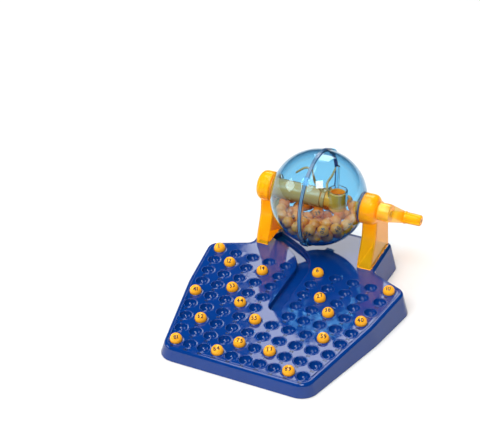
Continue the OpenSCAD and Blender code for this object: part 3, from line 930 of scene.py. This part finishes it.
def leg_shell(side):
    """The hollow outer part of a leg. The right one, at side 1, carries the shaft in a sleeve."""
    x0 = LEG_X + LEG_WALL
    outer = combine("UNION", rounded_prism(LEG_CORNERS, x0, LEG_OUT, 0, 0.4, LEG_ROUND),
                    rod(x0, HEAD_OUT, HEAD_R, 0.4, HEAD_ROUND))
    wall = LEG_WALL
    hollow = combine("UNION", rounded_prism(LEG_CORNERS, x0 - 1, LEG_OUT - wall, wall, 0, LEG_ROUND - wall),
                     rod(x0 - 1, HEAD_OUT - wall, HEAD_R - wall, 0, HEAD_ROUND - wall))
    shell = combine("DIFFERENCE", outer, hollow)
    if side > 0:
        shell = combine("UNION", shell, rod(x0 + 0.2, HEAD_OUT - 1, SHAFT_R + 2.4))
        shell = combine("DIFFERENCE", shell, rod(LEG_X, HEAD_OUT + 1, SHAFT_R + RUN_GAP))
    return cut_at_face(shell)


def leg_cover(side):
    """The flat inner part of a leg. The left one has the tube's hole and a window for the ball."""
    x1 = LEG_X + LEG_WALL - 0.02
    plate = combine("UNION", rounded_prism(LEG_CORNERS, LEG_X, x1, 0, 0.4, 0),
                    rod(LEG_X, x1, HEAD_R, 0.4, 0))
    if side > 0:
        return cut_at_face(combine("DIFFERENCE", plate, rod(LEG_X - 1, LEG_X + 3, SHAFT_R + RUN_GAP)))
    high, front = FACE_Z + 18, ROW1_Y + 20
    window = slab(LEG_X - 1, LEG_X + 3, [(front, 0), (front, high), (front + 10, high),
                                         (front + 41, high - 14), (front + 41, 0)])
    return cut_at_face(combine("DIFFERENCE", plate, window, rod(LEG_X - 1, LEG_X + 3, TUBE_R + 0.1)))


def build_legs():
    for side, way in ((-1, "left"), (1, "right")):
        for make, part in ((leg_shell, "leg_shell"), (leg_cover, "leg_cover")):
            bm = make(side)
            if side < 0:
                flip_x(bm)
            name = way + "_" + part
            add_piece(name + "_moulding", bm, [amber], "root", "amber_plastic", name)


# ------------------------------ crank

GRIP_AXIS = Matrix.Translation((0, ARM_L * math.cos(ARM_ANGLE), -ARM_L * math.sin(ARM_ANGLE))) @ AXLE
ARM_HUB_R, ARM_HUB_L, ARM_TIP_R, ARM_WALL = 9.5, 8, 6.8, 1.5


def arm_hull(inset, open_back):
    """The arm's tapered body between its two round ends, with rolled edges."""
    bm = bmesh.new()
    roll = quarter_round(1.6 - inset * 0.6, 3)
    for matrix, x0, x1, r in ((AXLE, ARM_X, ARM_X + ARM_HUB_L, ARM_HUB_R),
                              (GRIP_AXIS, ARM_END_X - ARM_HUB_L, ARM_END_X, ARM_TIP_R)):
        start = [(x0 - 4, 0)] if open_back else [(x0 + along + inset, back) for along, back in roll]
        end = [(x1 - inset - along, back) for along, back in reversed(roll)]
        for along, back in start + end:
            for spot in circle(r - inset - back, 48):
                bm.verts.new(matrix @ Vector((*spot, along)))
    hull = bmesh.ops.convex_hull(bm, input=bm.verts[:])
    spare = {v for v in hull["geom_interior"] if isinstance(v, bmesh.types.BMVert)}
    bmesh.ops.delete(bm, geom=list(spare), context="VERTS")
    return closed_solid(bm)


def build_arm():
    """A hollow arm with a solid hub, the grip's pin and the holes of the shaft and its screw."""
    body = combine("DIFFERENCE", arm_hull(0, False), arm_hull(ARM_WALL, True))
    body = combine("UNION", body, rod(ARM_FOOT, ARM_X + ARM_HUB_L - 0.1, ARM_HUB_R - 0.1, 0.6, 0.8),
                   rod(ARM_END_X - 7.5, ARM_END_X - 0.8, 4.6, 0.3, 0, GRIP_AXIS),
                   rod(ARM_END_X - 2.0, ARM_END_X + GRIP_L - 4, PIN_R, 0, 0.4, GRIP_AXIS))
    body = combine("DIFFERENCE", body, rod(HEAD_OUT - 1, SHAFT_END + 0.1, SHAFT_R + 0.05),
                   rod(SHAFT_END - 1, ARM_X + 9, 1.6), rod(ARM_X + 6, ARM_X + 9, 3.4, 0.3, 0))
    add_piece("crank_arm_moulding", body, [pale_amber], "globe", "amber_plastic", "crank_arm")


def build_grip():
    """A turned grip with a collar and a screw's well in its round tip."""
    start = ARM_END_X + 0.3
    tip = start + GRIP_L - 0.1
    bore, well, screw_hole = PIN_R + RUN_GAP, 3.3, 1.85
    profile = [(start, bore), (start, 6.3), (start + 0.4, 6.7), (start + 2.2, 6.68), (start + 2.8, 6.25),
               (start + 4.0, 6.1), (tip - 3.4, 5.95)]
    profile += arc((tip - 2.0, 3.9), 2.0, 88, 8, 7)
    profile += [(tip, 3.5), (tip - 0.2, well), (tip - 2.0, well), (tip - 2.0, screw_hole),
                (tip - 4.9, screw_hole), (tip - 4.9, bore)]
    bm = lathe(profile, GRIP_AXIS)
    add_piece("crank_grip_moulding", bm, [amber], "grip", "amber_plastic", "crank_grip")


# ------------------------------ outlet, cup, hub and shaft

UPRIGHT = Matrix.Translation((CATCH_X, AXLE_Y, AXLE_Z))


def build_tube():
    """The outlet tube with the flange that rests on the left leg."""
    start, flange, bore = -LEG_X - LEG_WALL, -LEG_X, TUBE_BORE_R + 0.02
    tube = ring([(start, bore + 0.2), (start, TUBE_R - 0.3), (start + 0.3, TUBE_R), (flange, TUBE_R),
                 (flange, TUBE_R + 2.7), (flange + 0.25, TUBE_R + 3), (flange + 1.1, TUBE_R + 3),
                 (flange + 1.4, TUBE_R + 2.7), (flange + 1.4, TUBE_R + 0.3), (flange + 1.7, TUBE_R),
                 (TUBE_END - 0.6, TUBE_R), (TUBE_END - 0.15, TUBE_R - 0.2), (TUBE_END, TUBE_R - 0.6),
                 (TUBE_END, bore + 0.3), (TUBE_END - 0.3, bore), (start + 0.2, bore)])
    add_piece("outlet_tube_moulding", tube, [olive], "root", "yellow_plastic", "outlet_tube")


def build_catch_cup():
    """The upright cup and the spigot that joins it to the tube."""
    cup = combine("UNION", rod(CATCH_BOTTOM, CATCH_TOP, CATCH_R, 1.6, 0.7, UPRIGHT),
                  rod(TUBE_END - 8, CATCH_X, TUBE_BORE_R - 0.12, 0.4, 0))
    cup = combine("DIFFERENCE", cup, rod(-7.4, CATCH_TOP + 9, CATCH_R - CATCH_WALL, 2.5, 0, UPRIGHT),
                  rod(TUBE_END - 9, CATCH_X, TUBE_BORE_R - CATCH_WALL - 0.1))
    add_piece("catch_cup_moulding", cup, [cup_yellow], "root", "yellow_plastic", "catch_cup")


def build_sleeve():
    """The clear sleeve round the cup and the post that stands on its rim."""
    low, high, inner, outer = -4.0, 13.4, 8.92, 10.28
    sleeve = ring([(low + 0.3, inner), (low, inner + 0.3), (low, outer - 0.3), (low + 0.3, outer),
                   (high - 0.5, outer), (high - 0.1, outer - 0.25), (high, outer - 0.6),
                   (high - 0.1, inner + 0.15), (high - 0.5, inner)], UPRIGHT)
    post_turn, post_out = math.radians(115), 9.6
    post = UPRIGHT @ Matrix.Translation((post_out * math.cos(post_turn), post_out * math.sin(post_turn), 0))
    sleeve = combine("DIFFERENCE", sleeve, rod(5, CATCH_X, TUBE_BORE_R + 0.4))
    sleeve = combine("UNION", sleeve, rod(high - 3, high + 22.9, 1.95, 0.2, 1.5, post, 32))
    add_piece("cup_sleeve_moulding", sleeve, [pale_sky], "root", "clear_blue_plastic", "cup_hoop")


def smooth_path(points, steps=10):
    """A smooth (Catmull-Rom) curve through points of (along, out)."""
    def near(i):
        return Vector(points[max(0, min(len(points) - 1, i))])
    path = []
    for i in range(len(points) - 1):
        a, b, c, d = (near(k) for k in (i - 1, i, i + 1, i + 2))
        for k in range(steps):
            t = k / steps
            path.append(b + t / 2 * (c - a) + t * t * (a - 2.5 * b + 2 * c - d / 2)
                        + t ** 3 / 2 * (3 * b - 3 * c + d - a))
    return path + [Vector(points[-1])]


# Each finger's turn about the axle in degrees, and its route as (along the axle, out from it)
FINGERS = [(-20, [(7, 9.8), (3.5, 12.5), (-1, 21.5), (-2.5, 32), (-4, 40), (-10, 41), (-21, 31)]),
           (44, [(6.5, 9.8), (4.5, 16.5), (7, 25), (8.5, 34)]),
           (98, [(6.5, 9.8), (9, 17), (6, 25), (7.5, 33)])]
FINGER_R, FINGER_TAPER = 1.5, 0.3


def sweep_finger(bm, path, place):
    """A round finger along its route, thinner towards a rounded tip."""
    last = len(path) - 1
    stops = [(i, 1.0, 0.0) for i in range(last + 1)]
    stops += [(last, math.cos(a), math.sin(a)) for a in (math.radians(degrees) for degrees in (30, 55, 78))]
    rings = []
    for i, shrink, past in stops:
        way = (path[min(i + 1, last)] - path[max(i - 1, 0)]).normalized()
        r = FINGER_R * (1 - FINGER_TAPER * i / last)
        middle = path[i] + way * past * r
        rings.append([bm.verts.new(place @ Vector((middle.x + across * way.y, up, middle.y - across * way.x)))
                      for across, up in circle(r * shrink, 14)])
    join_rings(bm, rings, ends=True)


def build_fingers():
    """Wavy fingers on a collar that sits on the cup's spigot."""
    start, end, inner, outer = 5.0, 9.0, TUBE_BORE_R + 0.02, TUBE_BORE_R + 2
    bm = ring([(start, 8.6), (start, 10.2), (start + 0.2, outer), (end - 0.2, outer), (end, 10.2), (end, 8.6),
               (end - 0.2, inner), (start + 0.2, inner)])
    for turn, points in FINGERS:
        place = Matrix.Translation((0, AXLE_Y, AXLE_Z)) @ Matrix.Rotation(-math.radians(turn), 4, "X")
        sweep_finger(bm, smooth_path(points), place)
    add_piece("ball_fingers_moulding", bm, [olive], "root", "pale_yellow_plastic", "ball_fingers")


def build_hub():
    """The clear hub, with painted shade at its edge."""
    end, bore, shaded_edge_r = LEG_X - 0.4, SHAFT_R + RUN_GAP, POLE_R - 1
    hub = ring([(POLE_X, bore), (POLE_X, POLE_R - 0.3), (POLE_X + 0.3, POLE_R), (end - 0.4, POLE_R),
                (end, POLE_R - 0.4), (end, 14.2), (end - 0.4, 13.8), (end - 0.4, 9.4), (end, 9.0),
                (end, bore)])
    # Painted shade: the faces at the hub's outer edge get the dark edge material
    for face in hub.faces:
        if reach_of(face) > shaded_edge_r:
            face.material_index = 1
    add_piece("drive_hub_moulding", hub, [clear, edge_shade_sky], "globe", "clear_plastic", "drive_hub")


def build_shaft():
    """A shaft with a hole for its screw."""
    shaft = combine("DIFFERENCE", rod(POLE_X - SHELL - 4, SHAFT_END, SHAFT_R, 0.6, 0.4),
                    rod(SHAFT_END - 8, SHAFT_END + 1, 1.3))
    add_piece("drive_shaft_moulding", shaft, [amber], "globe", "amber_plastic", "drive_shaft")


def build_nut():
    """A nut with twelve flutes round its rim."""
    start, end, nut_r, bore = POLE_X - SHELL - 3.5, POLE_X - SHELL - 0.05, 9, SHAFT_R + RUN_GAP
    nut = ring([(start, bore), (start, nut_r - 0.7), (start + 0.5, nut_r), (end - 0.3, nut_r),
                (end, nut_r - 0.3), (end, bore)], AXLE, 48)
    for v in nut.verts:
        y, z = v.co.y - AXLE_Y, v.co.z - AXLE_Z
        if math.hypot(z, y) > nut_r - 1:
            dent = 1 - 0.05 * max(0, math.cos(12 * math.atan2(z, y)))
            v.co.y = AXLE_Y + y * dent
            v.co.z = AXLE_Z + z * dent
    add_piece("shaft_nut_moulding", nut, [thin_amber], "globe", "amber_plastic", "shaft_nut")


# ------------------------------ small pieces worked from the CAD's own shapes

def soften_node(name, piece_name, body, slot, material, width):
    """The CAD node's own shape with its sharp edges rounded by that width."""
    bm = bmesh.new()
    bm.from_mesh(nodes[name].data)
    bm.transform(Matrix.Scale(1 / MM, 4) @ nodes[name].matrix_world)
    bmesh.ops.remove_doubles(bm, verts=bm.verts, dist=0.002)
    bmesh.ops.dissolve_limit(bm, angle_limit=math.radians(1.2), verts=bm.verts, edges=bm.edges)
    add_piece(piece_name, bm, [material], body, slot, name, bevel=width)


build_legs()
build_arm()
build_grip()
build_tube()
build_catch_cup()
build_sleeve()
build_fingers()
build_hub()
build_shaft()
build_nut()
soften_node("seam_clips", "seam_clips_moulding", "globe", "clear_blue_plastic", sky, 0.35)
soften_node("outlet_ramp", "outlet_ramp_moulding", "root", "amber_plastic", amber, 0.3)
soften_node("crank_screw", "crank_screw_turned", "globe", "steel", steel, 0.12)
soften_node("grip_screw", "grip_screw_turned", "globe", "steel", steel, 0.1)
build_tray()
build_cup_numbers()
build_drawn_balls()
build_globe_balls()
build_globe_half(-1)
build_globe_half(1)
